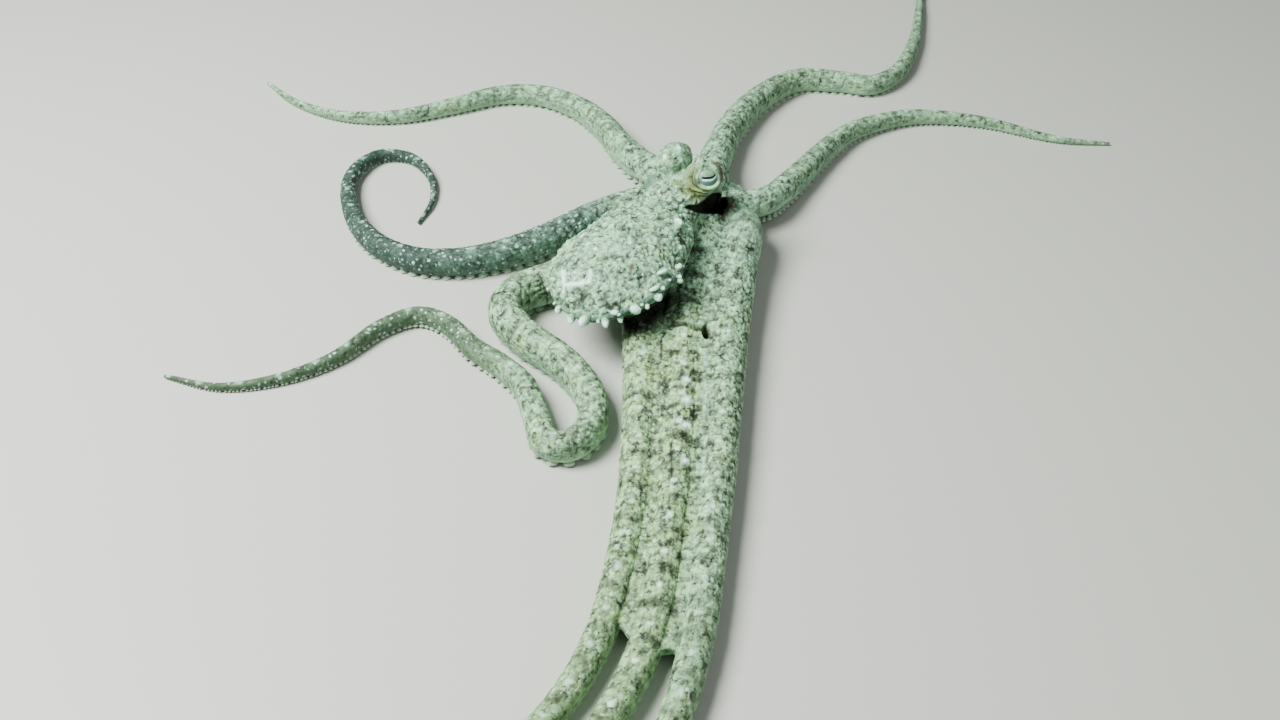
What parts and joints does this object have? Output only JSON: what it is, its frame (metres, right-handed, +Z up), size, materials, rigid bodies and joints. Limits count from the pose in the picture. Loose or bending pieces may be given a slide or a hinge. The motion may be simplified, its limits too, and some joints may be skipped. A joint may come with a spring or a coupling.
{
  "type": "octopus",
  "caption": "A long-armed sand octopus lying on the floor, arms spread, with suckers under each arm, raised eyes and a pale mottled skin.",
  "frame": {"origin": "on the floor under the mouth, at the middle of the flat underside where the eight arms meet", "axes": "+Z up off the floor; the animal faces between +X and +Y, its body bag lies back towards -X and -Y, and the three rear right arms run to -Y"},
  "size_m": [0.2904, 0.424, 0.0339],
  "materials": {
    "skin": "satin",
    "funnel": "satin",
    "eye": "gloss"
  },
  "bodies": {
    "root": {"arm_l1_1": "skin", "arm_l1_2": "skin", "arm_l1_3": "skin", "arm_l1_4": "skin", "arm_l2_1": "skin", "arm_l2_2": "skin", "arm_l2_3": "skin", "arm_l3_1": "skin", "arm_l3_2": "skin", "arm_l3_3": "skin", "arm_l3_4": "skin", "arm_l4_1": "skin", "arm_l4_2": "skin", "arm_l4_3": "skin", "arm_l4_4": "skin", "arm_l4_5": "skin", "arm_l4_6": "skin", "arm_l4_7": "skin", "arm_r1_1": "skin", "arm_r1_2": "skin", "arm_r1_3": "skin", "arm_r2_1": "skin", "arm_r2_2": "skin", "arm_r2_3": "skin", "arm_r2_4": "skin", "arm_r3_1": "skin", "arm_r3_2": "skin", "arm_r3_3": "skin", "arm_r3_4": "skin", "arm_r4_1": "skin", "arm_r4_2": "skin", "arm_r4_3": "skin", "arm_r4_4": "skin", "crown": "skin", "eye_left": "eye", "eye_right": "eye", "funnel": "funnel", "head": "skin", "mantle": "skin", "web_right": "skin"}
  },
  "joints": []
}
